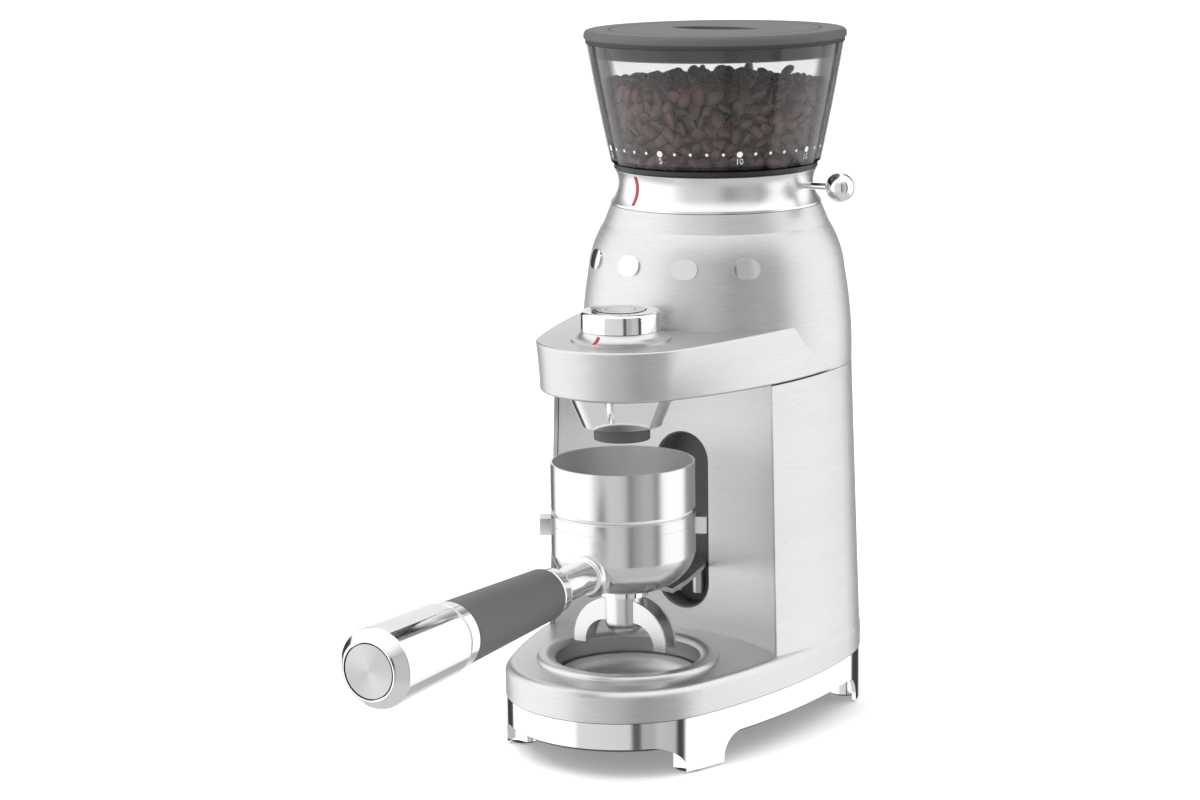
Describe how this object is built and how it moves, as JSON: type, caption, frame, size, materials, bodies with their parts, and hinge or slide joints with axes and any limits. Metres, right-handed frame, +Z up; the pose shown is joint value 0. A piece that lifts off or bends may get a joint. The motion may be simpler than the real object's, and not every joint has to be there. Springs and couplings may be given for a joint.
{
  "type": "burr coffee grinder",
  "caption": "Countertop burr coffee grinder with a bean hopper, timer knob, chute over a seated portafilter on a fork, and a drip tray.",
  "frame": {"origin": "on the floor under the middle of the whole outline, portafilter included", "axes": "+Z up, -Y to the front where the handle points, +X to the side with the lever"},
  "size_m": [0.1712, 0.4462, 0.3928],
  "materials": {
    "brushed_shell": "fine brushed",
    "base_chrome": "polished",
    "polished_metal": "polished",
    "satin_metal": "satin",
    "dark_plastic": "matt",
    "grey_plastic": "matt",
    "smoked_clear": "clear, smoked",
    "dark_rubber": "soft",
    "red_mark": "gloss",
    "steel": "machined",
    "brass_part": "machined",
    "board_green": "solder mask",
    "cast_metal": "cast"
  },
  "bodies": {
    "housing": {"plinth": "base_chrome", "foot_pads": "dark_rubber", "bottom_cover": "dark_plastic", "cover_screws": "steel", "body_shell": "brushed_shell", "face_panel": "brushed_shell", "recess_liner": "dark_plastic", "cord_gland": "dark_rubber", "tray_ring": "satin_metal", "tray_well": "dark_plastic", "portafilter_fork": "satin_metal", "upper_housing": "brushed_shell", "brow_plate": "dark_plastic", "front_emblem": "polished_metal", "motor_mount": "cast_metal", "gear_case": "cast_metal", "shaft_bearings": "steel", "motor_can": "steel", "grind_chamber": "cast_metal", "grounds_chute": "dark_plastic", "outlet_cone": "polished_metal", "outlet_spout": "dark_rubber", "knob_seat": "satin_metal", "knob_index": "red_mark", "rotary_encoder": "dark_plastic", "control_board": "board_green"},
    "grind_ring": {"grind_collar": "polished_metal", "collar_index": "red_mark", "lever_rod": "polished_metal", "lever_ball": "polished_metal", "burr_carrier": "grey_plastic", "ring_burr": "steel"},
    "hopper": {"hopper": "smoked_clear", "hopper_foot": "dark_plastic"},
    "lid": {"lid": "grey_plastic", "lid_seal": "dark_rubber"},
    "knob": {"control_knob": "polished_metal", "button_spring": "steel"},
    "start_button": {"start_button": "satin_metal"},
    "burr_drive": {"burr_shaft": "steel", "drive_gear": "brass_part", "sweeper": "grey_plastic", "cone_burr": "steel", "burr_nut": "brass_part"},
    "motor_rotor": {"motor_rotor": "steel", "motor_pinion": "steel"},
    "portafilter": {"portafilter_cup": "polished_metal", "filter_basket": "satin_metal", "basket_spring": "steel", "handle_neck": "polished_metal", "handle_ferrule": "polished_metal", "handle_grip": "dark_rubber", "handle_ring": "polished_metal", "handle_cap": "polished_metal", "handle_medallion": "satin_metal", "spout_nut": "polished_metal", "twin_spout": "polished_metal"},
    "dosing_ring": {"dosing_ring": "polished_metal"},
    "tray_dish": {"tray_dish": "satin_metal"}
  },
  "joints": [
    {"name": "grind_ring_turn", "type": "hinge", "parent": "housing", "child": "grind_ring", "pos_m": [0, 0.137, 0.3], "axis": [0, 0, 1], "range_deg": [-20, 230]},
    {"name": "hopper_lift", "type": "slide", "parent": "housing", "child": "hopper", "axis": [0, 0, 1], "range_m": [0, 0.06]},
    {"name": "lid_lift", "type": "slide", "parent": "hopper", "child": "lid", "axis": [0, 0, 1], "range_m": [0, 0.04]},
    {"name": "knob_turn", "type": "hinge", "parent": "housing", "child": "knob", "pos_m": [0, 0.0256, 0.24], "axis": [0, 0, 1], "range_deg": [-150, 150]},
    {"name": "start_button_press", "type": "slide", "parent": "knob", "child": "start_button", "axis": [0, 0, -1], "range_m": [0, 0.0012], "stiffness_N_per_m": 300, "springref_m": -0.002, "deforming": ["button_spring"]},
    {"name": "burr_spin", "type": "hinge", "parent": "housing", "child": "burr_drive", "pos_m": [0, 0.137, 0.22], "axis": [0, 0, 1], "continuous": true},
    {"name": "motor_spin", "type": "hinge", "parent": "housing", "child": "motor_rotor", "pos_m": [0, 0.162, 0.15], "axis": [0, 0, 1], "continuous": true},
    {"name": "portafilter_pull", "type": "slide", "parent": "housing", "child": "portafilter", "axis": [0, -1, 0], "range_m": [0, 0.11]},
    {"name": "dosing_ring_lift", "type": "slide", "parent": "portafilter", "child": "dosing_ring", "axis": [0, 0, 1], "range_m": [0, 0.025]},
    {"name": "tray_dish_lift", "type": "slide", "parent": "housing", "child": "tray_dish", "axis": [0, 0, 1], "range_m": [0, 0.012]}
  ],
  "couplings": [
    {"joint": "motor_spin", "follows": "burr_spin", "ratio": -4}
  ]
}
